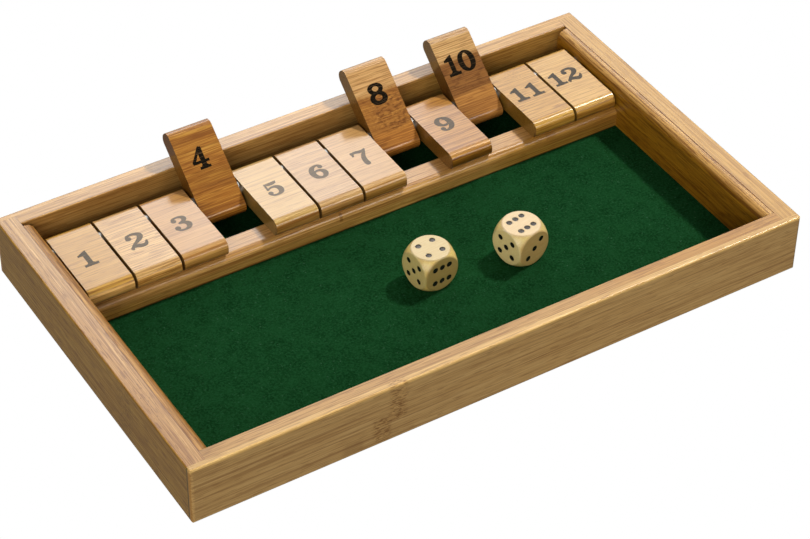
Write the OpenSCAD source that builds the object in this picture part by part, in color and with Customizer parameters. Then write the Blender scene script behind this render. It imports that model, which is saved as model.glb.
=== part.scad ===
// Shut the box: an open tray with twelve numbered tiles on a rod and two dice.
// Millimetres. The origin is on the underside, at the middle of the box.
// +X runs along the row of tiles, from tile 1 to tile 12. +Y runs from the
// player's side to the hinge side. +Z is up.

/* [Box] */
// Length of the box along the row of tiles
box_w = 340; // [300:1:400]
// Depth of the box from the player's side to the hinge side
box_d = 202; // [190:1:260]
// Height of the rails
box_h = 33; // [31:0.5:40]
// Thickness of the four rails
rail_t = 9.7; // [7:0.1:11]
// Skin of the front and back rail that laps the ends of the side rails
skin_t = 3.3; // [2:0.1:5]
// Radius of the four upright corners
corner_r = 1.8; // [1.2:0.1:3]
// Radius of the long outer edges
edge_r = 0.9; // [0.4:0.1:1.2]
// Radius of the inner top edges of the rails
inner_r = 0.5; // [0.2:0.1:1.5]

/* [Floor] */
// Thickness of the base board, whose underside is flush with the rails'
base_t = 6; // [3:0.1:7]
// Width of the rebate in the rails that holds the base board
rebate_w = 4; // [2:0.1:6]
// Thickness of the felt
felt_t = 1; // [0.6:0.1:1.6]
// Clearance round the base board and the felt
floor_gap = 0.1; // [0.05:0.05:0.3]

/* [Cheeks and rest] */
// Thickness of the cheeks that carry the rod
cheek_t = 6; // [4.5:0.1:8]
// Radius of the cheeks' inner top edge
cheek_r = 5.2; // [1:0.1:5.5]
// Distance of the cheeks' back ends from the back rail
cheek_back_gap = 2.2; // [0.5:0.1:4]
// Depth of the cheeks' top below the rails' top
cheek_drop = 0.2; // [0:0.1:1]
// Width of the tile rest from front to back
rest_w = 13.3; // [9:0.1:16]
// Height of the tile rest's top above the underside of the box
rest_top = 17.85; // [16.5:0.05:18.5]
// Radius of the tile rest's front top edge
rest_r = 3.5; // [1:0.1:4.5]

/* [Tiles] */
// Length of a tile
tile_l = 50.8; // [46:0.1:51.5]
// Thickness of a tile
tile_t = 9.4; // [7:0.1:10]
// Radius of the long edges at both ends of a tile
tile_r = 4.2; // [1:0.1:4.6]
// Distance of the pivot from a tile's back end
hole_back = 11.8; // [8:0.1:12.5]
// Distance of a flat tile's back end from the back rail
tile_back_gap = 8; // [7:0.1:12]
// Gap between a tile and what it rests on
seat_gap = 0.05; // [0.02:0.01:0.2]
// Numbers of the tiles that stand up, leaning on the back rail
up_tiles = [4, 8, 10]; // [1:1:12]

/* [Rod and spacers] */
// Diameter of the pivot rod
rod_d = 3; // [2:0.1:4]
// Radial clearance of the rod in the tiles and the spacers
rod_fit = 0.05; // [0.02:0.01:0.1]
// End clearance of the rod between the side rails
rod_end_gap = 0.3; // [0.1:0.1:1]
// Outer diameter of a spacer washer
washer_d = 8; // [6:0.1:9]
// Thickness of a spacer washer
washer_t = 1.5; // [0.8:0.1:2]
// Clearance on each side of a spacer washer
side_play = 0.05; // [0.02:0.01:0.1]

/* [Dice] */
// Edge of a die across its flats
die_s = 20; // [14:0.5:21]
// Diameter of the ball that rounds a die's corners
die_ball_d = 27.6; // [27:0.1:29]
// Distance of a pip from the middle of its face
pip_pitch = 4.2; // [3:0.1:4.5]
// Diameter of a pip
pip_d = 3.1; // [2:0.1:3.6]
// Depth of a pip
pip_depth = 0.35; // [0.2:0.05:0.6]
// Place of the first die from the left and the front of the box
die_1_at = [175, 80]; // [60:1:260]
// Turn of the first die about the vertical
die_1_turn = 5; // [-45:1:45]
// Place of the second die from the left and the front of the box
die_2_at = [223.2, 72.6]; // [60:1:260]
// Turn of the second die about the vertical
die_2_turn = 11; // [-45:1:45]

/* [Hidden] */
$fn = 64;
tile_count = 12;
eps = 1; // how far a cutter reaches past the face it cuts

// The box, seen from its middle
half_w = box_w / 2;
half_d = box_d / 2;
inner_w = box_w - 2 * rail_t;
inner_d = box_d - 2 * rail_t;
floor_z = base_t + felt_t;
cheek_len = inner_d - cheek_back_gap;
cheek_top = box_h - cheek_drop;

// The row of tiles between the cheeks
bay_w = inner_w - 2 * cheek_t;
washer_count = tile_count + 1;
tile_w = (bay_w - washer_count * (washer_t + 2 * side_play)) / tile_count;
tile_pitch = tile_w + washer_t + 2 * side_play;
row_x = -bay_w / 2 + washer_t + 2 * side_play;
hole_d = rod_d + 2 * rod_fit;

// The pivot line, and how far a tile leans back from flat when it stands
pivot_y = half_d - rail_t - tile_back_gap - hole_back;
rest_front = pivot_y + hole_back - tile_l;
pivot_z = rest_top + seat_gap + tile_t / 2;
stop_y = half_d - rail_t + inner_r - pivot_y;
stop_z = box_h - inner_r - pivot_z;
stop_off = tile_t / 2 + inner_r + seat_gap;
up_angle = 180 - atan2(stop_z, stop_y) - asin(stop_off / norm([stop_y, stop_z]));

function tile_name(n) = str("tile_", n < 10 ? "0" : "", n);
function tile_x(n) = row_x + (n - 1) * tile_pitch;
function is_up(n) = len([for (u = up_tiles) if (u == n) u]) > 0;

// ---- Outlines ----

// A rectangle from the origin with four round corners
module round_rect(w, h, r) {
    translate([r, 0]) square([w - 2 * r, h]);
    translate([0, r]) square([w, h - 2 * r]);
    for (x = [r, w - r], y = [r, h - r]) translate([x, y]) circle(r);
}

// What a round edge of radius r takes off a corner at the origin. The stock
// lies in the quarter x > 0, y > 0.
module edge_cut(r) {
    difference() {
        translate([-eps, -eps]) square(r + eps);
        translate([r, r]) circle(r);
    }
}

// Lays an outline drawn in Y and Z along +X
module along_x(length) {
    rotate([90, 0, 90]) linear_extrude(length) children();
}

// ---- The box ----

// The outside of the whole box, with its upright corners and edges rounded
module box_envelope() {
    intersection() {
        translate([-half_w, -half_d, 0]) linear_extrude(box_h) round_rect(box_w, box_d, corner_r);
        translate([-half_w, -half_d, 0]) along_x(box_w) round_rect(box_d, box_h, edge_r);
        translate([-half_w, half_d, 0]) rotate([90, 0, 0]) linear_extrude(box_d)
            round_rect(box_w, box_h, edge_r);
    }
}

// What all four rails leave open for the base board
module base_rebate() {
    open_w = inner_w + 2 * rebate_w;
    open_d = inner_d + 2 * rebate_w;
    translate([-open_w / 2, -open_d / 2, -eps]) cube([open_w, open_d, base_t + eps]);
}

// The front rail: its skin runs to both corners, its inner part stops
// between the side rails, and its inner top edge is broken
module front_rail_body() {
    difference() {
        intersection() {
            box_envelope();
            translate([-half_w, -half_d, 0]) along_x(box_w)
                difference() {
                    square([rail_t, box_h]);
                    translate([rail_t, box_h]) rotate(180) edge_cut(inner_r);
                }
        }
        for (side = [-1, 1])
            translate([side * half_w - rail_t, -half_d + skin_t, -eps])
                cube([2 * rail_t, rail_t, box_h + 2 * eps]);
        base_rebate();
    }
}

// The right rail, from skin to skin. Its inner top edge stays sharp, because
// the cheek stands against it.
module right_rail_body() {
    difference() {
        intersection() {
            box_envelope();
            translate([half_w - rail_t, -half_d + skin_t, 0])
                cube([rail_t, box_d - 2 * skin_t, box_h]);
        }
        base_rebate();
    }
}

module front_rail() {
    color("burlywood") front_rail_body();
}

module back_rail() {
    color("burlywood") rotate(180) front_rail_body();
}

module right_rail() {
    color("tan") right_rail_body();
}

module left_rail() {
    color("tan") mirror([1, 0, 0]) right_rail_body();
}

// ---- The floor ----

// The board lies in the rails' rebates
module base_board() {
    board_w = inner_w + 2 * (rebate_w - floor_gap);
    board_d = inner_d + 2 * (rebate_w - floor_gap);
    color("peru") translate([-board_w / 2, -board_d / 2, 0])
        cube([board_w, board_d, base_t]);
}

// One sheet covers the board from rail to rail, under the cheeks and the rest
module felt() {
    sheet_w = inner_w - 2 * floor_gap;
    sheet_d = inner_d - 2 * floor_gap;
    color("darkgreen") translate([-sheet_w / 2, -sheet_d / 2, base_t])
        cube([sheet_w, sheet_d, felt_t]);
}

// ---- Cheeks, rest, rod and spacers ----

// The right cheek: a strip against the side rail with a round inner top edge
// and a bore for the rod
module right_cheek_body() {
    difference() {
        translate([half_w - rail_t, -half_d + rail_t + cheek_len, floor_z])
            mirror([1, 0, 0])
                rotate([90, 0, 0])
                    linear_extrude(cheek_len)
                        difference() {
                            square([cheek_t, cheek_top - floor_z]);
                            translate([cheek_t, cheek_top - floor_z]) rotate(180) edge_cut(cheek_r);
                        }
        translate([half_w - rail_t - cheek_t - eps, pivot_y, pivot_z])
            rotate([0, 90, 0]) cylinder(d = hole_d, h = cheek_t + 2 * eps);
    }
}

module right_cheek() {
    color("sandybrown") right_cheek_body();
}

module left_cheek() {
    color("sandybrown") mirror([1, 0, 0]) right_cheek_body();
}

// The strip that the tiles' free ends lie on
module tile_rest() {
    rest_h = rest_top - floor_z;
    color("sandybrown") translate([-bay_w / 2, rest_front, floor_z])
        along_x(bay_w)
            difference() {
                square([rest_w, rest_h]);
                translate([0, rest_h]) rotate(-90) edge_cut(rest_r);
            }
}

// The rod runs through both cheeks and is held between the side rails
module pivot_rod() {
    rod_l = inner_w - 2 * rod_end_gap;
    color("silver") translate([-rod_l / 2, pivot_y, pivot_z])
        rotate([0, 90, 0]) cylinder(d = rod_d, h = rod_l);
}

// A washer on each side of every tile
module spacer_washers() {
    color("gainsboro")
        for (n = [1 : washer_count])
            translate([tile_x(n) - side_play - washer_t, pivot_y, pivot_z])
                rotate([0, 90, 0])
                    linear_extrude(washer_t)
                        difference() {
                            circle(d = washer_d);
                            circle(d = hole_d);
                        }
}

// ---- Tiles ----

// A tile that lies flat, with its pivot at the origin and its free end to -Y
module tile_body() {
    along_x(tile_w)
        difference() {
            translate([hole_back - tile_l, -tile_t / 2]) round_rect(tile_l, tile_t, tile_r);
            circle(d = hole_d);
        }
}

// Tile n on the rod, flat or leaning back against the back rail
module tile(n) {
    color(is_up(n) ? "peru" : "wheat")
        translate([tile_x(n), pivot_y, pivot_z])
            rotate([is_up(n) ? -up_angle : 0, 0, 0]) tile_body();
}

// ---- Dice ----

// Places of the pips of a face with the number n
function pips(n) = [
    for (p = [[0, 0]]) if (n % 2 == 1) p,
    for (p = [[-1, -1], [1, 1]]) if (n > 1) p,
    for (p = [[-1, 1], [1, -1]]) if (n > 3) p,
    for (p = [[0, -1], [0, 1]]) if (n == 6) p
];

// Turns that carry the top face to the top, left, front, right, back, bottom
face_turns = [[0, 0, 0], [90, 0, -90], [90, 0, 0], [90, 0, 90], [90, 0, 180], [180, 0, 0]];

// A die that stands on the felt. faces holds its numbers in the order above.
module die(at, turn, faces) {
    translate([at[0] - half_w, at[1] - half_d, floor_z + seat_gap + die_s / 2])
        rotate(turn)
            difference() {
                intersection() {
                    cube(die_s, center = true);
                    sphere(d = die_ball_d);
                }
                for (f = [0 : 5], p = pips(faces[f]))
                    rotate(face_turns[f])
                        translate([p[0] * pip_pitch, p[1] * pip_pitch, die_s / 2 - pip_depth])
                            cylinder(d = pip_d, h = pip_depth + eps);
            }
}

module die_1() {
    color("ivory") die(die_1_at, die_1_turn, [4, 5, 6, 2, 1, 3]);
}

module die_2() {
    color("ivory") die(die_2_at, die_2_turn, [6, 5, 3, 2, 4, 1]);
}

front_rail();
back_rail();
left_rail();
right_rail();
base_board();
felt();
left_cheek();
right_cheek();
tile_rest();
pivot_rod();
spacer_washers();
for (n = [1 : tile_count])
    tile(n);
die_1();
die_2();
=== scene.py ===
import math
import bpy
from mathutils import Euler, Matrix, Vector
from mathutils.geometry import delaunay_2d_cdt


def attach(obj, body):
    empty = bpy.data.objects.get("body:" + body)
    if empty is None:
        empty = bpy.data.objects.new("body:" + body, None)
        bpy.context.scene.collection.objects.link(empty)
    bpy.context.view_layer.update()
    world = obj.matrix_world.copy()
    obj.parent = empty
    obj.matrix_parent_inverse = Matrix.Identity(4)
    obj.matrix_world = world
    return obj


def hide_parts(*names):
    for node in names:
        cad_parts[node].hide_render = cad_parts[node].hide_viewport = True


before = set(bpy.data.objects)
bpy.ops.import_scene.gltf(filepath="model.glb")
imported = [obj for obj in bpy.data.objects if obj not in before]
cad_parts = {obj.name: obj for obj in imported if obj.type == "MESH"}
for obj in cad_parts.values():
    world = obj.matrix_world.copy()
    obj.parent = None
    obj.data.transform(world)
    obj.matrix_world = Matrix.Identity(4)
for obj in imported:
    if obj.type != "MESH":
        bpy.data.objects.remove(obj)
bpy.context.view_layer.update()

MM = 0.001

# Sizes of the solids, in millimetres
HALF_W, HALF_D, RAIL_T = 170.0, 101.0, 9.7
FELT_TOP, FELT_T = 7.0, 1.0
TILE_L, TILE_T, TILE_W = 50.8, 9.4, 23.983
HOLE_BACK, PITCH, ROW_X = 11.8, 25.583, -152.7
PIVOT_Y, PIVOT_Z, UP_ANGLE = 71.5, 22.6, math.radians(140.5608)
TILES, UP_TILES = 12, (4, 8, 10)
# Each die's middle on the felt, its turn in degrees, and the numbers of its faces
DICE = {
    "die_1": ((5.0, -21.0), 5, (4, 5, 6, 2, 1, 3)),
    "die_2": ((53.2, -28.4), 11, (6, 5, 3, 2, 4, 1)),
}
DIE_S, DIE_GAP, PIP_PITCH = 20.0, 0.05, 4.2



def die_centre(at):
    return Vector((*at, FELT_TOP + DIE_GAP + DIE_S / 2))


# ---- Camera, light and floor ----

cam_data = bpy.data.cameras.new("camera")
cam_data.sensor_width = 36
cam_data.lens = 115.73
cam = bpy.data.objects.new("camera", cam_data)
cam.location = (-0.5177, -0.8315, 0.8506)
cam.rotation_euler = [math.radians(a) for a in (49.0116, -0.5484, -31.6167)]
bpy.context.collection.objects.link(cam)
bpy.context.scene.camera = cam
bpy.context.scene.view_settings.view_transform = "Standard"


class Nodes:
    """Short ways to build a node tree."""

    def __init__(self, tree):
        self.tree = tree
        tree.nodes.clear()

    def add(self, kind, **values):
        node = self.tree.nodes.new(kind)
        for key, value in values.items():
            setattr(node, key, value)
        return node

    def put(self, value, socket):
        if isinstance(value, bpy.types.NodeSocket):
            self.tree.links.new(value, socket)
        elif value is not None:
            if socket.type == "RGBA" and len(value) == 3:
                value = (*value, 1)
            socket.default_value = value

    def math(self, op, a, b=None, c=None, clamp=False):
        node = self.add("ShaderNodeMath", operation=op, use_clamp=clamp)
        for value, socket in zip((a, b, c), node.inputs):
            self.put(value, socket)
        return node.outputs[0]

    def mix(self, fac, a, b, blend="MIX"):
        node = self.add("ShaderNodeMix", data_type="RGBA", blend_type=blend)
        self.put(fac, node.inputs[0])
        self.put(a, node.inputs[6])
        self.put(b, node.inputs[7])
        return node.outputs[2]

    def noise(self, vector, scale=1.0, detail=2.0, rough=0.5, warp=0.0):
        node = self.add("ShaderNodeTexNoise")
        self.put(vector, node.inputs["Vector"])
        node.inputs["Scale"].default_value = scale
        node.inputs["Detail"].default_value = detail
        node.inputs["Roughness"].default_value = rough
        node.inputs["Distortion"].default_value = warp
        return node.outputs["Fac"]

    def steps(self, value, low, high, out_low=0.0, out_high=1.0):
        """Turns low..high into a smooth 0..1."""
        node = self.add("ShaderNodeMapRange", interpolation_type="SMOOTHSTEP")
        for item, socket in zip((value, low, high, out_low, out_high), node.inputs):
            self.put(item, socket)
        return node.outputs[0]

    def scaled(self, vector, scale, shift=(0, 0, 0)):
        node = self.add("ShaderNodeVectorMath", operation="MULTIPLY_ADD")
        self.put(vector, node.inputs[0])
        node.inputs[1].default_value = scale
        node.inputs[2].default_value = shift
        return node.outputs[0]

    def between(self, value, low, high, soft):
        """1 from low to high, with soft edges."""
        up = self.steps(value, low - soft, low + soft)
        down = self.steps(value, high - soft, high + soft, 1.0, 0.0)
        return self.math("MULTIPLY", up, down)


def facing(z):
    """The turn that points an area light's -Z along the direction z."""
    return Vector(z).to_track_quat("-Z", "Y").to_euler()


def area_light(name, direction, distance, size, power, color=(1, 1, 1)):
    """A rectangular light that looks at the origin from a direction and distance."""
    data = bpy.data.lights.new(name, "AREA")
    data.shape = "RECTANGLE"
    data.size, data.size_y = size
    data.energy = power
    data.color = color
    way = Vector(direction).normalized()
    obj = bpy.data.objects.new(name, data)
    obj.location = way * distance
    obj.rotation_euler = facing(-way)
    bpy.context.collection.objects.link(obj)


area_light("key", (0.592, 0.085, 0.801), 2.0, (0.15, 0.15), 26.0, (1, 0.985, 0.96))
area_light("rear_softbox", (0.332, 0.722, 0.607), 8.0, (1.71, 1.23), 24.0)
area_light("rear_core", (0.361, 0.675, 0.643), 8.0, (0.89, 0.60), 4.0)
area_light("rear_right", (0.507, 0.622, 0.597), 8.0, (1.51, 1.02), 5.8)
area_light("front_softbox", (0.40, -0.79, 0.46), 2.5, (0.60, 0.60), 5.5)
area_light("left_softbox", (-0.679, -0.612, 0.407), 3.0, (1.8, 1.4), 27.5, (1, 0.951, 0.854))

world = bpy.data.worlds.new("studio")
bpy.context.scene.world = world
world.use_nodes = True
n = Nodes(world.node_tree)
direction = n.add("ShaderNodeTexCoord").outputs["Generated"]
# A broad glow behind the table, a warm fill from the left, and a little light from everywhere
level = (0.05, 0.05, 0.05)
for way, narrow, power in (
    ((0.296, 0.814, 0.5), 6, (1.5, 1.5, 1.5)), ((-0.740, -0.667, 0.09), 3, (0.82, 0.78, 0.70)),
):
    lean = n.add("ShaderNodeVectorMath", operation="DOT_PRODUCT")
    n.put(direction, lean.inputs[0])
    lean.inputs[1].default_value = way
    lobe = n.math("POWER", n.math("MAXIMUM", lean.outputs["Value"], 0), narrow)
    total = n.add("ShaderNodeVectorMath", operation="MULTIPLY_ADD")
    n.put(lobe, total.inputs[0])
    total.inputs[1].default_value = power
    n.put(level, total.inputs[2])
    level = total.outputs[0]
seen = n.add("ShaderNodeLightPath").outputs["Is Camera Ray"]
back = n.add("ShaderNodeBackground")
n.put(n.mix(seen, level, (1, 1, 1)), back.inputs["Color"])
n.put(back.outputs[0], n.add("ShaderNodeOutputWorld").inputs["Surface"])

# The floor looks white, and gives the part only a share of that as light
FLOOR_HALF, FLOOR_Z, FLOOR_LIGHT = 4, -0.0002, 0.12
floor_mesh = bpy.data.meshes.new("floor")
corners = [(x * FLOOR_HALF, y * FLOOR_HALF, FLOOR_Z)
           for x, y in ((-1, -1), (1, -1), (1, 1), (-1, 1))]
floor_mesh.from_pydata(corners, [], [(0, 1, 2, 3)])
floor = bpy.data.objects.new("floor", floor_mesh)
bpy.context.collection.objects.link(floor)
floor_mat = bpy.data.materials.new("floor_white")
floor_mat.use_nodes = True
n = Nodes(floor_mat.node_tree)
seen = n.add("ShaderNodeLightPath").outputs["Is Camera Ray"]
glow = n.add("ShaderNodeEmission")
n.put(n.math("MULTIPLY_ADD", seen, 1 - FLOOR_LIGHT, FLOOR_LIGHT), glow.inputs["Strength"])
n.put(glow.outputs[0], n.add("ShaderNodeOutputMaterial").inputs["Surface"])
floor_mesh.materials.append(floor_mat)

# ---- Materials ----


def finished(n, color, rough, coat=0.0, coat_rough=0.2, bump=None, bump_mm=0.02, edge_mm=0.0,
             **sockets):
    """Ends a node tree with its shader. Other sockets are named with _ for each space."""
    shader = n.add("ShaderNodeBsdfPrincipled")
    n.put(color, shader.inputs["Base Color"])
    n.put(rough, shader.inputs["Roughness"])
    shader.inputs["Coat Weight"].default_value = coat
    shader.inputs["Coat Roughness"].default_value = coat_rough
    for key, value in sockets.items():
        shader.inputs[key.replace("_", " ")].default_value = value
    if bump is not None:
        node = n.add("ShaderNodeBump")
        node.inputs["Strength"].default_value = 1.0
        node.inputs["Distance"].default_value = bump_mm * MM
        if edge_mm:
            soft = n.add("ShaderNodeBevel", samples=6)
            soft.inputs["Radius"].default_value = edge_mm * MM
            n.put(soft.outputs[0], node.inputs["Normal"])
        n.put(bump, node.inputs["Height"])
        n.put(node.outputs[0], shader.inputs["Normal"])
    n.put(shader.outputs[0], n.add("ShaderNodeOutputMaterial").inputs["Surface"])


def new_material(name):
    material = bpy.data.materials.new(name)
    material.use_nodes = True
    return material, Nodes(material.node_tree)


def millimetres(n, turn=None):
    """Object coordinates in millimetres, in a piece's own frame if its turn is given."""
    coords = n.add("ShaderNodeTexCoord").outputs["Object"]
    node = n.add("ShaderNodeMapping", vector_type="POINT")
    n.put(coords, node.inputs["Vector"])
    node.inputs["Scale"].default_value = (1000, 1000, 1000)
    if turn is not None:
        angles, origin = turn
        rotation = Euler(angles)
        node.inputs["Rotation"].default_value = rotation
        node.inputs["Location"].default_value = -(rotation.to_matrix() @ Vector(origin))
    return node.outputs[0]


# Zone edges that are softer than this many millimetres also wander
STRAIGHT = 0.9
WOOD = (0.60, 0.31, 0.08)
DARK = (0.50, 0.38, 0.28)
PALE = (1.20, 1.32, 1.55)


def tinted(color, tint):
    return tuple(min(a * b, 1) for a, b in zip(color, tint))


def line(axis, place, width, tint, share=1.0, within=None):
    """A thin straight line across one axis, as a zone, within other limits if given."""
    edges = {axis: (place - width / 2, place + width / 2, 0.05)}
    edges.update(within or {})
    return edges, tint, share, None


def bamboo(name, along, seed, base=WOOD, dark=DARK, pale=PALE, fine=1.0, dash=0.5, long=0.35,
           zones=(), turn=None, rough=0.38, coat=1.0, coat_rough=0.2, end=(0.96, 0.94, 0.90)):
    """Laminated bamboo: fine fibres, short dark dashes and long thin streaks along one axis.
    A zone is ({axis: (low, high, soft)}, tint, share, blotches) in millimetres, where blotches
    are (scale along the fibres, scale across, low, high) of the noise that breaks it up."""
    material, n = new_material(name)
    p = millimetres(n, turn)
    shift = (seed * 3.7, seed * 5.3, seed * 7.9)
    dark, pale = tinted(base, dark), tinted(base, pale)

    def layer(k_along, k_across, detail):
        scale = tuple(k_along if axis == along else k_across for axis in range(3))
        return n.noise(n.scaled(p, scale, shift), 1.0, detail, 0.6)

    def share(value, low, high, most):
        return n.math("MULTIPLY", n.steps(value, low, high), most)

    tone = layer(0.012, 0.16, 2.0)
    fibre = layer(0.026, 1.55, 3.0)
    hair = layer(0.050, 3.3, 2.0)
    strokes = layer(0.11, 1.5, 0.0)
    streaks = layer(0.008, 0.90, 0.0)
    color = n.mix(n.steps(tone, 0.32, 0.68), tinted(base, (0.96, 0.95, 0.94)),
                  tinted(base, (1.04, 1.05, 1.07)))
    color = n.mix(share(fibre, 0.50, 0.34, min(0.62 * fine, 1)), color, dark)
    color = n.mix(share(fibre, 0.51, 0.66, min(0.80 * fine, 1)), color, pale)
    color = n.mix(share(hair, 0.50, 0.36, min(0.40 * fine, 1)), color, dark)
    color = n.mix(share(hair, 0.55, 0.68, min(0.45 * fine, 1)), color, pale)
    color = n.mix(share(strokes, 0.64, 0.70, dash), color, dark)
    color = n.mix(share(streaks, 0.66, 0.70, long), color, dark)
    normal = n.add("ShaderNodeSeparateXYZ")
    n.put(n.add("ShaderNodeTexCoord").outputs["Normal"], normal.inputs[0])
    # The faces across the fibres show end grain
    end_grain = n.steps(n.math("ABSOLUTE", normal.outputs[along]), 0.75, 0.95)
    color = n.mix(n.math("MULTIPLY", end_grain, 0.7), color, tinted(base, end))
    parts = n.add("ShaderNodeSeparateXYZ")
    n.put(p, parts.inputs[0])
    wave = n.math("SUBTRACT", layer(0.05, 0.05, 2.0), 0.5)
    for limits, tint, most, blotches in zones:
        mask = most
        for axis, (low, high, soft) in limits.items():
            place = parts.outputs[axis]
            if soft > STRAIGHT:
                place = n.math("MULTIPLY_ADD", wave, soft * 3.0, place)
            mask = n.math("MULTIPLY", n.between(place, low, high, soft), mask)
        if blotches is not None:
            k_along, k_across, low, high = blotches
            mask = n.math("MULTIPLY", n.steps(layer(k_along, k_across, 3.0), low, high), mask)
        color = n.mix(mask, color, tint, "MULTIPLY")
    height = n.math("ADD", fibre, n.math("MULTIPLY", hair, 0.5))
    finished(n, color, n.steps(fibre, 0.3, 0.7, rough + 0.06, rough - 0.05), coat, coat_rough,
             bump=height, Specular_IOR_Level=0.25)
    return material


def dress(node, material):
    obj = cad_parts[node]
    obj.data.materials.clear()
    obj.data.materials.append(material)


# The laminated strips' joints, the dark and pale dashes of a knot, and the limits of the
# front rail's face and of the rails' tops
JOINT = (0.34, 0.24, 0.12)
KNOT, KNOT_PALE = (0.48, 0.36, 0.23), (1.25, 1.27, 1.30)
FACE, TOP = (-102, -100.5, 0.1), (31.2, 34, 0.4)


def knot(low, high, bottom, top, share=0.8):
    """The broken dashes of a bamboo joint, on the front rail's face."""
    box = {0: (low, high, 1.5), 1: (-102, -97.6, 0.1), 2: (bottom, top, 1.5)}
    return [(box, (0.93, 0.90, 0.85), share, None), (box, KNOT, share, (0.30, 1.10, 0.50, 0.58)),
            (box, KNOT_PALE, share * 0.7, (0.34, 1.25, 0.47, 0.38))]


dress("front_rail", bamboo("bamboo_front_rail", 0, 1, base=(0.56, 0.30, 0.082), fine=0.75,
                           dash=0.5, long=0.5, coat=0.85, coat_rough=0.3, zones=[
    ({1: (-102, -97.7, 0.1), 2: TOP}, (1.28, 1.44, 1.68), 1.0, None),
    ({1: FACE, 2: (-1, 31.2, 0.4)}, (1.18, 1.35, 1.76), 1.0, None),
    # Painted highlight along the rounding of the top's outer edge
    ({1: (-102, -100.1, 0.2), 2: (31.6, 34, 0.3)}, (1.30, 1.36, 1.40), 1.0, None),
    ({0: (0, 172, 25), 1: FACE, 2: (-1, 31.2, 0.4)}, (1.07, 1.06, 1.02), 1.0, None),
    line(1, -97.7, 0.2, JOINT, 0.35),
    line(1, -98.3, 0.8, (0.28, 0.36, 0.16), 1.0, within={0: (-171, -169.6, 0.1)}),
    ({0: (60, 172, 40), 1: (-97.7, -90, 0.1)}, (0.94, 0.85, 0.62), 1.0, None),
    ({0: (-92, -81, 2), 1: FACE, 2: (1, 8, 2)}, KNOT, 0.35, None),
] + knot(-66, -57.5, 12.5, 34, 0.9) + knot(-75, -66, 1, 16.5, 0.9)))
dress("back_rail", bamboo("bamboo_back_rail", 0, 2, dash=0.45, long=0.5, zones=[
    ({2: TOP}, (1.02, 1.05, 1.07), 1.0, None),
    ({1: (97.7, 102, 0.1)}, (1.12, 1.16, 1.24), 1.0, None),
    line(1, 97.7, 0.2, JOINT, 0.3),
    line(1, 92.1, 0.35, (0.50, 0.38, 0.26), 0.7),
    ({1: (89, 91.6, 0.2), 2: (-1, 32.4, 0.3)}, (0.84, 0.88, 0.92), 1.0, None),
    ({0: (60, 172, 30), 1: (89, 91.6, 0.2), 2: (-1, 32.4, 0.3)}, (1.0, 1.0, 0.82), 1.0, None),
    ({0: (90, 172, 20), 2: TOP}, (1.07, 1.10, 1.10), 1.0, None),
]))
dress("left_rail", bamboo("bamboo_left_rail", 1, 3, base=(0.55, 0.28, 0.075), dash=0.7, fine=1.2,
                          zones=[
    ({0: (-171, -169.6, 0.1)}, (0.97, 1.02, 0.50), 1.0, None),
    ({0: (-171, -169.6, 0.1), 1: (-44, -29, 4)}, (0.62, 0.58, 0.50), 0.6, (0.9, 0.5, 0.48, 0.58)),
    ({0: (-169.6, -165.4, 0.2), 2: TOP}, (0.92, 0.88, 0.80), 1.0, None),
    ({0: (-169.6, -159, 0.2), 1: (30, 110, 12), 2: TOP}, (1.09, 1.16, 1.24), 1.0, None),
    ({0: (-171, -169.6, 0.1), 1: (10, 110, 15)}, (0.98, 0.97, 0.82), 1.0, None),
    line(0, -160.4, 0.25, (0.45, 0.32, 0.20), 0.7),
    line(0, -164.6, 0.5, (1.3, 1.4, 1.7)),
    line(0, -162.9, 0.4, (1.25, 1.35, 1.6), 0.8),
    ({0: (-168, -162, 1), 1: (-66, -40, 6), 2: TOP}, (0.45, 0.35, 0.28), 0.8, (0.5, 1.4, 0.60, 0.66)),
]))
dress("right_rail", bamboo("bamboo_right_rail", 1, 4, base=(0.64, 0.355, 0.085), dash=0.4, fine=0.8,
                           zones=[
    line(0, 160.4, 0.3, (0.38, 0.24, 0.12), 0.7),
]))
CHEEK = dict(dark=(0.42, 0.30, 0.18), fine=1.4, dash=0.8, long=0.8)
dress("left_cheek", bamboo("bamboo_left_cheek", 1, 5, base=(0.62, 0.31, 0.070), coat=0.45,
                           coat_rough=0.3, **CHEEK, zones=[
    line(0, -160.15, 0.3, JOINT, 0.8),
    ({0: (-158.2, -150, 0.8)}, (0.68, 0.62, 0.55), 1.0, None),
]))
dress("right_cheek", bamboo("bamboo_right_cheek", 1, 6, base=(0.66, 0.355, 0.088),
                            coat_rough=0.28, **CHEEK, zones=[
    line(0, 160.1, 0.3, (0.36, 0.20, 0.09), 0.7),
    ({0: (153, 155.6, 0.5), 2: (-1, 30.8, 0.8)}, (0.53, 0.43, 0.088), 1.0, None),
]))
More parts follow.
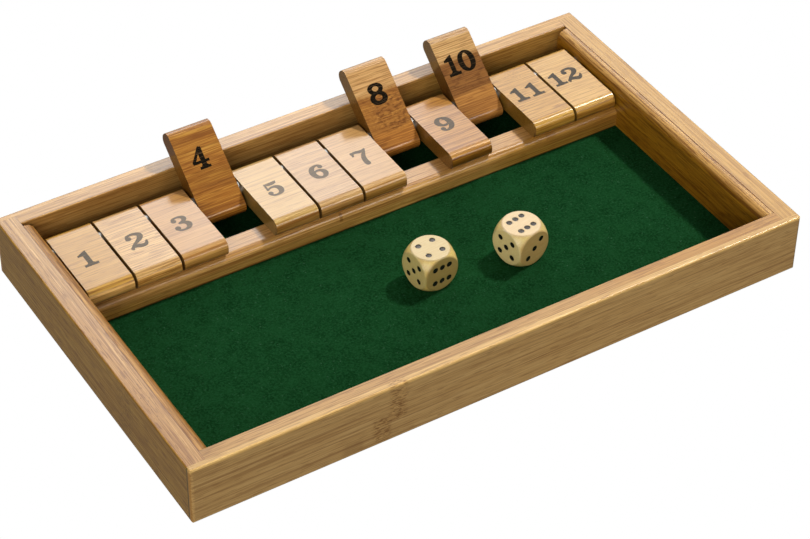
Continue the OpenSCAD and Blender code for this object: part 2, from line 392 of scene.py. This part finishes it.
dress("tile_rest", bamboo("bamboo_tile_rest", 0, 7, dash=0.45, long=0.6, zones=[
    ({2: (0, 12, 0.5)}, (0.86, 0.91, 0.86), 1.0, None),
    ({0: (-4, 26, 6), 2: (0, 12, 0.5)}, (1.18, 1.24, 1.28), 1.0, None),
    # Painted light on the front face at the left end, lifting the shadow of the left rail
    ({0: (-165, -128, 6), 2: (0, 12, 0.5)}, (1.28, 1.28, 1.20), 1.0, None),
    # Painted highlight along the lower part of the lip's front rounding
    ({1: (31, 33.6, 0.5), 2: (14.4, 16.4, 0.5)}, (1.35, 1.45, 1.70), 1.0, None),
    # Painted shadow: a thin dark line where the front face meets the felt
    line(2, 7.2, 0.6, (0.25, 0.20, 0.15), 0.9),
    ({0: (80, 165, 20), 1: (31, 36, 0.3)}, (0.80, 0.74, 0.50), 1.0, None),
    ({0: (-14.6, -12.9, 0.3), 1: (31, 34.5, 0.3), 2: (13.2, 18.5, 0.5)},
     (0.40, 0.28, 0.18), 0.6, None),
    ({0: (110, 116, 0.8), 1: (31, 34.5, 0.3), 2: (15, 18.5, 0.5)}, (0.60, 0.48, 0.32), 0.6, None),
]))
dress("base_board", bamboo("bamboo_base", 0, 8, base=(0.50, 0.25, 0.08), dash=0.6, rough=0.6,
                           coat=0.0))


# The free end of a tile along its length, from its hinge
FREE_END = -39


def end_zone(tint):
    """The free end of a tile: its whole face tinted for each tile as painted light and shade, a
    painted highlight on the rounding above, painted shade on the lower part, and dark streaks.
    """
    # Painted light and shade over the whole end face, with a tint set for each tile
    return [({1: (-40, -38.3, 0.35)}, tint, 1.0, None),
            # Painted highlight on the rounding at the top of the end
            ({1: (-40, -35.6, 0.6), 2: (1.3, 5.5, 0.5)}, (1.20, 1.30, 1.45), 1.0, None),
            # Painted shade on the lower part of the end
            ({1: (-40, -37.0, 0.4), 2: (-6.5, -1.6, 1.4)}, (0.42, 0.39, 0.24), 1.0, None),
            ({1: (-40, -36.5, 0.4)}, (0.62, 0.48, 0.30), 0.8, (0.02, 0.9, 0.52, 0.60))]


def across(low, high, tint, soft=1.5, share=1.0, blotches=None, x=None):
    """A zone of a tile, in millimetres from its free end."""
    limits = {1: (low + FREE_END, high + FREE_END, soft)}
    if x is not None:
        limits[0] = x
    return limits, tint, share, blotches


# The tint given to each tile's end below is painted light and shade on its free end
TILE_LOOKS = {
    1: dict(base=(0.61, 0.315, 0.05), fine=0.7, dash=0.35, zones=end_zone((1.55, 1.7, 3.3))),
    2: dict(base=(0.71, 0.405, 0.125), fine=1.3, dash=0.65, long=0.6,
            zones=end_zone((1.1, 1.0, 0.8))),
    3: dict(base=(0.59, 0.295, 0.076), fine=0.6, dash=0.35, zones=end_zone((0.97, 0.95, 0.85))),
    4: dict(base=(0.46, 0.175, 0.021), pale=(1.35, 1.7, 2.3), fine=1.25, dash=0.55, long=0.5,
            zones=[across(0, 22, (1.1, 1.18, 1.35), 4), across(25, 36, (0.84, 0.83, 0.80), 3)]),
    5: dict(base=(0.64, 0.38, 0.108), fine=0.45, dash=0.3, zones=end_zone((0.76, 0.62, 0.50))),
    6: dict(base=(0.58, 0.32, 0.105), fine=0.85, dash=0.5, zones=end_zone((0.85, 0.75, 0.6))),
    7: dict(base=(0.60, 0.325, 0.10), fine=0.5, dash=0.35, zones=end_zone((0.70, 0.62, 0.40))),
    8: dict(base=(0.51, 0.205, 0.032), fine=1.2, dash=0.5, zones=[
        across(-1, 17, (1.40, 1.95, 4.4), 2.5),
        across(15, 39, (0.94, 0.98, 1.02), 3),
        across(19, 38.5, (0.50, 0.41, 0.35), 2, 0.85, (0.28, 0.75, 0.49, 0.59), (33, 51, 3)),
        across(22, 38.5, (1.40, 1.60, 2.1), 2, 0.5, (0.34, 1.0, 0.57, 0.66), (30, 51, 3)),
        across(16, 39, (0.74, 0.66, 0.56), 3, 0.6, (0.5, 0.6, 0.46, 0.58)),
        across(38.5, 52, (1.04, 1.02, 1.0), 0.4)]),
    9: dict(base=(0.53, 0.24, 0.045), fine=1.2, dash=0.5, zones=end_zone((0.52, 0.45, 0.2))),
    10: dict(base=(0.53, 0.23, 0.046), fine=1.3, dash=0.6, zones=[
        across(-1, 15.5, (1.31, 1.76, 3.2), 1.0),
        across(15.5, 34, (0.57, 0.52, 0.47), 1.0),
        across(20, 33, (0.55, 0.45, 0.35), 2, 0.6, (0.25, 0.5, 0.52, 0.62))]),
    11: dict(base=(0.61, 0.315, 0.054), fine=1.1, dash=0.6, zones=end_zone((0.92, 0.9, 0.8)) + [
        across(38, 48, (0.60, 0.50, 0.42), 3, 0.5, (0.9, 0.9, 0.52, 0.62), (110, 122, 3))]),
    12: dict(base=(0.67, 0.375, 0.089), fine=0.9, dash=0.45, zones=end_zone((0.73, 0.62, 0.40))),
}
for k in range(1, TILES + 1):
    turn = ((UP_ANGLE if k in UP_TILES else 0.0, 0, 0), (0, PIVOT_Y, PIVOT_Z))
    dress(f"tile_{k:02d}", bamboo(f"bamboo_tile_{k:02d}", 0, 10 + 3 * k, turn=turn, coat_rough=0.16,
                              end=(0.20, 0.215, 0.15), **TILE_LOOKS[k]))

steel, n = new_material("steel")
grain = n.noise(n.scaled(millimetres(n), (0.1, 6, 6)), 1.0, 3.0)
finished(n, (0.72, 0.72, 0.70), n.steps(grain, 0.3, 0.7, 0.22, 0.38), Metallic=1.0)
dress("pivot_rod", steel)
washer, n = new_material("washer_steel")
grain = n.noise(n.scaled(millimetres(n), (3, 3, 3)), 1.0, 3.0)
finished(n, (0.44, 0.44, 0.42), n.steps(grain, 0.3, 0.7, 0.34, 0.46), Metallic=1.0)
dress("spacer_washers", washer)

# Tints of each die over plain wood, on its rounding and its top, left and front faces: partly the
# wood's own tone, partly painted light and shade for how each face is lit
DIE_TONE_AND_PAINTED_LIGHT = {
    "die_1": ((1.21, 1.30, 1.15), (0.95, 1.03, 1.34), (1.05, 1.22, 1.40), (0.65, 0.68, 0.64)),
    "die_2": ((1.22, 1.38, 1.50), (1.09, 1.15, 1.75), (1.22, 1.46, 2.00), (0.95, 0.93, 1.00)),
}
for k, (die, (at, turn_deg, _)) in enumerate(DICE.items()):
    material, n = new_material("wood_" + die)
    p = millimetres(n, ((0, 0, -math.radians(turn_deg)), die_centre(at)))
    grain = n.noise(n.scaled(p, (0.12, 1.5, 1.5), (9 * k, 4, 2)), 1.0, 4.0, 0.6)
    color = n.mix(n.steps(grain, 0.35, 0.7), (0.74, 0.50, 0.165), (0.79, 0.57, 0.21))
    specks = n.noise(n.scaled(p, (2.9, 2.9, 2.9), (3 * k, 8, 5)), 1.0, 2.0)
    parts = n.add("ShaderNodeSeparateXYZ")
    n.put(p, parts.inputs[0])
    reach = 0.0
    for axis in range(3):
        reach = n.math("MAXIMUM", reach, n.math("ABSOLUTE", parts.outputs[axis]))
    # The rounding and the top, left and front faces take the tints above, which are partly painted
    # light and shade
    ball = n.steps(reach, 9.0, 10.0, 1.0, 0.0)
    color = n.mix(ball, color, DIE_TONE_AND_PAINTED_LIGHT[die][0], "MULTIPLY")
    for (axis, side), tint in zip(((2, 1), (0, -1), (1, -1)), DIE_TONE_AND_PAINTED_LIGHT[die][1:]):
        flat = n.steps(n.math("MULTIPLY", parts.outputs[axis], side), 9.1, 10.0)
        color = n.mix(flat, color, tint, "MULTIPLY")
    worn = n.math("MULTIPLY", n.steps(specks, 0.56, 0.66), n.between(reach, 8.9, 9.8, 0.3))
    color = n.mix(n.math("MULTIPLY", worn, 0.55), color, (0.62, 0.30, 0.06))
    color = n.mix(n.math("MULTIPLY", n.steps(specks, 0.66, 0.74), 0.3), color, (0.42, 0.27, 0.10))
    finished(n, color, 0.40, 0.7, 0.25, bump=grain, bump_mm=0.03, edge_mm=1.3)
    dress(die, material)

# ---- Felt ----


FELT_PLAY = 0.1
FELT_STEPS = (214, 122)


def felt_sheet():
    """A closed sheet with a slightly uneven nap, which stays below the solid's top."""
    half_w, half_d = HALF_W - RAIL_T - FELT_PLAY, HALF_D - RAIL_T - FELT_PLAY
    nx, ny = FELT_STEPS
    verts, faces = [], []
    for j in range(ny + 1):
        for i in range(nx + 1):
            x, y = -half_w + 2 * half_w * i / nx, -half_d + 2 * half_d * j / ny
            dip = 0.03 * (math.sin(1.7 * i + 2.3 * j) + math.sin(2.9 * i - 1.3 * j + 1)) - 0.07
            verts.append((x * MM, y * MM, (FELT_TOP + dip) * MM))
    row = nx + 1
    for j in range(ny):
        for i in range(nx):
            a = j * row + i
            faces.append((a, a + 1, a + row + 1, a + row))
    rim = list(range(row)) + [j * row + nx for j in range(1, ny + 1)]
    rim += [ny * row + i for i in range(nx - 1, -1, -1)] + [j * row for j in range(ny - 1, 0, -1)]
    low = len(verts)
    for v in rim:
        verts.append((verts[v][0], verts[v][1], (FELT_TOP - FELT_T) * MM))
    for k in range(len(rim)):
        m = (k + 1) % len(rim)
        faces.append((rim[m], rim[k], low + k, low + m))
    faces.append(tuple(reversed(range(low, low + len(rim)))))
    mesh = bpy.data.meshes.new("felt_sheet")
    mesh.from_pydata(verts, [], faces)
    mesh.update()
    obj = bpy.data.objects.new("felt_sheet", mesh)
    bpy.context.collection.objects.link(obj)
    return obj


felt = felt_sheet()
felt_mat, n = new_material("green_felt")
p = millimetres(n)
cloud = n.noise(p, 0.11, 5.0, 0.68)
fuzz = n.noise(p, 0.9, 4.0, 0.7)
lint = n.noise(p, 1.1, 1.0, 0.4, 0.8)
color = n.mix(n.steps(cloud, 0.34, 0.66), (0.0038, 0.030, 0.0070), (0.0072, 0.050, 0.0135))
color = n.mix(n.steps(fuzz, 0.38, 0.66), color, (0.0115, 0.068, 0.022))
color = n.mix(n.math("MULTIPLY", n.steps(lint, 0.69, 0.77), 0.45), color, (0.07, 0.15, 0.09))
finished(n, color, 0.95, bump=fuzz, bump_mm=0.25, Specular_IOR_Level=0.0,
         Sheen_Weight=0.012, Sheen_Roughness=0.5, Sheen_Tint=(0.3, 0.9, 0.4, 1))
felt.data.materials.append(felt_mat)
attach(felt, "tray")
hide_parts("felt")

# ---- Numerals ----


def stroke(points, closed=False, steps=8):
    """A pen line through (x, y, half width) points, as a list of quads."""
    pts = [Vector(p) for p in points]
    count = len(pts)
    line = []
    spans = count if closed else count - 1
    for i in range(spans):
        p1, p2 = pts[i], pts[(i + 1) % count]
        p0 = pts[i - 1] if (i > 0 or closed) else 2 * p1 - p2
        p3 = pts[(i + 2) % count] if (i + 2 < count or closed) else 2 * p2 - p1
        for s in range(steps):
            t = s / steps
            line.append(0.5 * (2 * p1 + (p2 - p0) * t + (2 * p0 - 5 * p1 + 4 * p2 - p3) * t * t
                               + (3 * p1 - p0 - 3 * p2 + p3) * t ** 3))
    if not closed:
        line.append(pts[-1])
    sides = []
    total = len(line)
    for i, q in enumerate(line):
        before = line[i - 1] if (i > 0 or closed) else q
        after = line[(i + 1) % total] if (i + 1 < total or closed) else q
        way = (after - before).to_2d().normalized()
        off = Vector((-way.y, way.x)) * q.z
        mid = q.to_2d()
        sides.append((mid + off, mid - off))
    quads = []
    for i in range(total if closed else total - 1):
        a, b = sides[i], sides[(i + 1) % total]
        quads.append([a[1], b[1], b[0], a[0]])
    if not closed:
        quads += disc(line[0].x, line[0].y, line[0].z) + disc(line[-1].x, line[-1].y, line[-1].z)
    return quads


def disc(x, y, r):
    """A round pen mark."""
    turns = [a * math.pi / 12 for a in range(24)]
    return [[Vector((x + r * math.cos(a), y + r * math.sin(a))) for a in turns]]


def block(*corners):
    """A straight-sided piece of a digit."""
    return [[Vector(c) for c in corners]]


# Digits 10 high, standing on y = 0, centred on x = 0
def glyphs():
    """Each digit as outlines that overlap, from pen strokes, discs and blocks."""
    g = {}
    g["1"] = (block((-1.15, 0.8), (1.15, 0.8), (1.15, 10), (0.55, 10), (-1.15, 9.1))
              + block((-3.15, 0), (3.15, 0), (3.15, 1.45), (-3.15, 1.45))
              + block((-1.9, 1.4), (1.9, 1.4), (1.15, 2.1), (-1.15, 2.1))
              + block((-3.2, 7.1), (-1.1, 7.1), (-1.1, 8.9), (-3.2, 8.1))
              + stroke([(-2.4, 7.75, 0.6), (-1.2, 8.25, 0.75), (-0.1, 8.9, 0.6)]))
    g["2"] = (disc(-2.5, 7.35, 1.3)
              + stroke([(-3.1, 7.8, 0.5), (-2.5, 8.9, 0.7), (-0.9, 9.4, 0.66), (1.0, 9.2, 0.85),
                        (2.45, 8.2, 1.2), (2.6, 6.9, 1.3), (1.7, 5.5, 1.15), (0.1, 4.3, 0.85),
                        (-1.6, 3.1, 0.7), (-2.9, 1.7, 0.65), (-3.4, 0.5, 0.6)])
              + stroke([(-3.7, 1.0, 0.6), (-2.5, 1.8, 0.9), (-1.0, 1.8, 1.1), (0.7, 1.15, 1.15),
                        (2.2, 1.1, 1.05), (3.2, 1.9, 0.75), (3.75, 3.2, 0.45)]))
    g["3"] = (disc(-2.4, 7.6, 1.2) + disc(-2.75, 2.7, 1.35)
              + stroke([(-3.0, 8.1, 0.5), (-2.2, 9.0, 0.66), (-0.4, 9.4, 0.6), (1.3, 9.05, 0.85),
                        (2.3, 8.1, 1.15), (2.15, 6.9, 1.1), (1.1, 5.9, 0.8), (-0.6, 5.45, 0.55)])
              + stroke([(-0.6, 5.35, 0.55), (1.1, 5.05, 0.8), (2.5, 4.1, 1.25), (2.75, 2.8, 1.35),
                        (1.9, 1.3, 1.05), (0.0, 0.62, 0.66), (-2.1, 0.95, 0.66), (-3.4, 2.1, 0.6)]))
    g["4"] = (block((-0.05, 0.6), (2.25, 0.6), (2.25, 10), (1.45, 10), (-0.05, 8.9))
              + block((-1.5, 0), (3.75, 0), (3.75, 1.3), (-1.5, 1.3))
              + block((-0.7, 1.2), (3.0, 1.2), (2.25, 1.9), (-0.05, 1.9))
              + block((-3.9, 2.75), (3.95, 2.75), (3.95, 4.05), (-3.9, 4.05))
              + stroke([(1.1, 9.6, 0.65), (-1.0, 6.8, 0.66), (-3.25, 3.7, 0.75)]))
    g["5"] = (block((-3.15, 8.2), (2.3, 8.2), (2.9, 8.9), (3.3, 10.1), (-3.15, 9.7))
              + stroke([(-2.65, 9.4, 0.5), (-2.75, 7.5, 0.5), (-2.85, 5.3, 0.5)])
              + stroke([(2.4, 8.9, 0.6), (0.8, 8.7, 0.9), (-1.2, 8.8, 0.95), (-2.5, 9.1, 0.6)])
              + stroke([(-2.9, 5.3, 0.5), (-1.5, 6.15, 0.55), (0.5, 6.3, 0.8), (2.2, 5.3, 1.25),
                        (2.75, 3.4, 1.4), (2.0, 1.5, 1.15), (0.1, 0.65, 0.7), (-2.0, 0.9, 0.66),
                        (-3.3, 2.1, 0.55)])
              + disc(-2.75, 2.75, 1.25))
    g["6"] = (disc(2.45, 7.9, 1.2)
              + stroke([(3.0, 8.6, 0.5), (1.9, 9.3, 0.66), (0.3, 9.35, 0.75), (-1.4, 8.4, 1.15),
                        (-2.5, 6.6, 1.35), (-2.75, 4.4, 1.4), (-2.1, 2.1, 1.25), (-0.2, 0.75, 0.8),
                        (1.6, 1.2, 1.05), (2.65, 2.75, 1.3), (2.5, 4.3, 1.25), (1.3, 5.7, 0.85),
                        (-0.4, 5.9, 0.66), (-2.0, 5.0, 0.5)]))
    g["7"] = (block((-3.9, 6.7), (-3.0, 6.7), (-2.5, 8.2), (-2.7, 9.9), (-3.7, 9.9))
              + stroke([(-3.3, 8.85, 0.8), (-1.5, 9.1, 0.9), (0.6, 8.75, 0.95), (2.3, 8.9, 0.8),
                        (3.5, 9.6, 0.45)])
              + stroke([(3.45, 9.5, 0.5), (2.4, 7.9, 0.75), (1.2, 6.0, 0.95), (0.3, 3.9, 1.15),
                        (0.0, 1.6, 1.25), (0.1, 0.0, 1.3)]))
    g["8"] = (stroke([(0, 9.3, 0.7), (1.9, 8.75, 0.95), (2.7, 7.5, 1.15), (1.9, 6.1, 0.95),
                      (0, 5.45, 0.72), (-1.9, 6.1, 0.95), (-2.7, 7.5, 1.15),
                      (-1.9, 8.75, 0.95)], closed=True)
              + stroke([(0, 5.4, 0.75), (2.2, 4.6, 1.0), (3.0, 3.0, 1.3), (2.1, 1.45, 1.15),
                        (0, 0.9, 0.95), (-2.1, 1.45, 1.15), (-3.0, 3.0, 1.3),
                        (-2.2, 4.6, 1.0)], closed=True))
    g["9"] = [[Vector((-v.x, 10 - v.y)) for v in face] for face in g["6"]]
    g["0"] = stroke([(0, 9.4, 0.66), (-1.9, 8.4, 1.05), (-2.85, 6.3, 1.35), (-2.85, 3.7, 1.35),
                     (-1.9, 1.6, 1.05), (0, 0.6, 0.66), (1.9, 1.6, 1.05), (2.85, 3.7, 1.35),
                     (2.85, 6.3, 1.35), (1.9, 8.4, 1.05)], closed=True)
    return g


def union(faces):
    """Overlapping outlines joined into one set of triangles."""
    verts, polys = [], []
    for face in faces:
        area = sum(face[i].x * face[(i + 1) % len(face)].y - face[(i + 1) % len(face)].x * face[i].y
                   for i in range(len(face)))
        if abs(area) < 1e-6:
            continue
        ring = face if area > 0 else face[::-1]
        polys.append(list(range(len(verts), len(verts) + len(ring))))
        verts += ring
    out = delaunay_2d_cdt(verts, [], polys, 1, 1e-4)
    return out[0], [tri for tri, owners in zip(out[2], out[5]) if owners]


def spread(outlines):
    """The least and the greatest x."""
    xs = [v.x for face in outlines for v in face]
    return min(xs), max(xs)


# Height of each number, its shift across the tile, and its middle's place along
# the tile: from the hinge end on the flat face, from the free end on the other
NUMBER_AT = {
    1: (11.9, -0.9, 25.95), 2: (11.9, -0.3, 26.25), 3: (11.5, -0.8, 25.95), 4: (11.6, -1.1, 18.5),
    5: (11.0, 0.3, 25.9), 6: (11.2, 0.3, 25.7), 7: (11.5, -0.1, 26.65), 8: (11.7, 0.1, 18.45),
    9: (11.6, -0.5, 24.9), 10: (11.5, 0.0, 17.9), 11: (11.6, -0.4, 23.9), 12: (11.4, -1.1, 23.1),
}
DIGIT_GAP = {10: 0.25, 11: 1.8, 12: 0.45}


def number_outline(k, shapes):
    """A tile's number at its real height, about its own middle."""
    size = NUMBER_AT[k][0] / 10
    outline, x = [], 0.0
    for d in (shapes[c] for c in str(k)):
        low, high = spread(d)
        outline += [[Vector((v.x - low + x, v.y)) for v in face] for face in d]
        x += high - low + DIGIT_GAP.get(k, 0)
    low, high = spread(outline)
    return [[Vector((v.x - (low + high) / 2, v.y - 5)) * size for v in face] for face in outline]


# How far the ink lies off the wood, the middles of the numbers on the faces that don't
# show at rest, and the tiles whose ink is worn pale
INK_GAP = 0.025
FLAT_PLACE, UP_PLACE = 25.9, 18.5
FADED = (2, 3, 5, 6, 7, 9)


def ink(name, dark, worn):
    """Printed ink, with worn patches and fine scratches along the fibres."""
    material, n = new_material(name)
    p = millimetres(n)
    patches = n.noise(n.scaled(p, (0.25, 2.4, 2.4)), 1.0, 3.0, 0.6)
    scratch = n.noise(n.scaled(p, (0.04, 3.2, 3.2)), 1.0, 1.0)
    color = n.mix(n.steps(patches, 0.50, 0.72), dark, worn)
    scratched = n.math("MULTIPLY", n.steps(scratch, 0.60, 0.68), 0.6)
    color = n.mix(scratched, color, (0.13, 0.075, 0.035))
    finished(n, color, 0.18, Specular_IOR_Level=0.42, Specular_Tint=(1, 0.78, 0.55, 1))
    return material


dark_ink = ink("ink_dark", (0.009, 0.007, 0.004), (0.024, 0.018, 0.011))
faded_ink = ink("ink_faded", (0.060, 0.047, 0.036), (0.105, 0.080, 0.056))


def numeral(k, shapes):
    """A tile's number, printed on both of its faces."""
    _, shift, place = NUMBER_AT[k]
    flat_verts, tris = union(number_outline(k, shapes))
    mid_x = ROW_X + (k - 1) * PITCH + TILE_W / 2 + shift
    up = k in UP_TILES
    turned = Euler((-UP_ANGLE if up else 0, 0, 0)).to_matrix()
    # The face that shows when the tile lies flat, and the one that shows when it stands
    flat_place, up_place = (FLAT_PLACE, place) if up else (place, UP_PLACE)
    verts, faces = [], []
    for side, centre in ((1, HOLE_BACK - flat_place), (-1, HOLE_BACK - TILE_L + up_place)):
        first = len(verts)
        for v in flat_verts:
            local = Vector((0, centre + side * v.y, side * (TILE_T / 2 + INK_GAP)))
            q = turned @ local
            verts.append(((mid_x + v.x) * MM, (PIVOT_Y + q.y) * MM, (PIVOT_Z + q.z) * MM))
        for t in tris:
            ring = [first + i for i in t]
            faces.append(ring if side > 0 else ring[::-1])
    mesh = bpy.data.meshes.new(f"number_{k:02d}")
    mesh.from_pydata(verts, [], faces)
    mesh.materials.append(faded_ink if k in FADED else dark_ink)
    obj = bpy.data.objects.new(mesh.name, mesh)
    bpy.context.collection.objects.link(obj)
    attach(obj, f"tile_{k:02d}")


shapes = glyphs()
for k in range(1, TILES + 1):
    numeral(k, shapes)

# ---- Pips ----

FACE_TURNS = [(0, 0, 0), (90, 0, -90), (90, 0, 0), (90, 0, 90), (90, 0, 180), (180, 0, 0)]
pip_paint, n = new_material("pip_paint")
flow = n.noise(millimetres(n), 1.2, 2.0)
finished(n, n.mix(flow, (0.006, 0.006, 0.006), (0.018, 0.015, 0.013)), 0.22,
         Specular_IOR_Level=0.62, Specular_Tint=(1, 0.87, 0.76, 1))


# Paint of a pip, from its rim inwards: radius and height over the face
PIP_RINGS = [(1.535, -0.09), (1.46, -0.15), (1.15, -0.19), (0.6, -0.20)]
PIP_SIDES = 24


def pip_places(count):
    """The pips of a face, in steps of the pitch."""
    places = [(0, 0)] if count % 2 else []
    if count > 1:
        places += [(-1, -1), (1, 1)]
    if count > 3:
        places += [(-1, 1), (1, -1)]
    if count == 6:
        places += [(0, -1), (0, 1)]
    return places


def pips(die, at, turn_deg, numbers):
    """The paint in all the pips of a die."""
    verts, faces = [], []
    body = Euler((0, 0, math.radians(turn_deg))).to_matrix()
    centre = die_centre(at)
    last = len(PIP_RINGS) - 1
    for f, count in enumerate(numbers):
        face = Euler([math.radians(a) for a in FACE_TURNS[f]]).to_matrix()
        for px, py in pip_places(count):
            x, y = px * PIP_PITCH, py * PIP_PITCH
            first = len(verts)
            points = [(x + r * math.cos(math.tau * a / PIP_SIDES),
                       y + r * math.sin(math.tau * a / PIP_SIDES), DIE_S / 2 + depth)
                      for r, depth in PIP_RINGS for a in range(PIP_SIDES)]
            points.append((x, y, DIE_S / 2 + PIP_RINGS[-1][1]))
            verts += [(centre + body @ (face @ Vector(q))) * MM for q in points]
            for ring in range(last + 1):
                low = first + PIP_SIDES * ring
                for a in range(PIP_SIDES):
                    b = (a + 1) % PIP_SIDES
                    if ring < last:
                        faces.append((low + a, low + b, low + PIP_SIDES + b, low + PIP_SIDES + a))
                    else:
                        faces.append((low + a, low + b, low + PIP_SIDES))
    mesh = bpy.data.meshes.new("pips_" + die)
    mesh.from_pydata(verts, [], faces)
    mesh.materials.append(pip_paint)
    for poly in mesh.polygons:
        poly.use_smooth = True
    obj = bpy.data.objects.new(mesh.name, mesh)
    bpy.context.collection.objects.link(obj)
    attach(obj, die)


for die, (at, turn_deg, numbers) in DICE.items():
    pips(die, at, turn_deg, numbers)
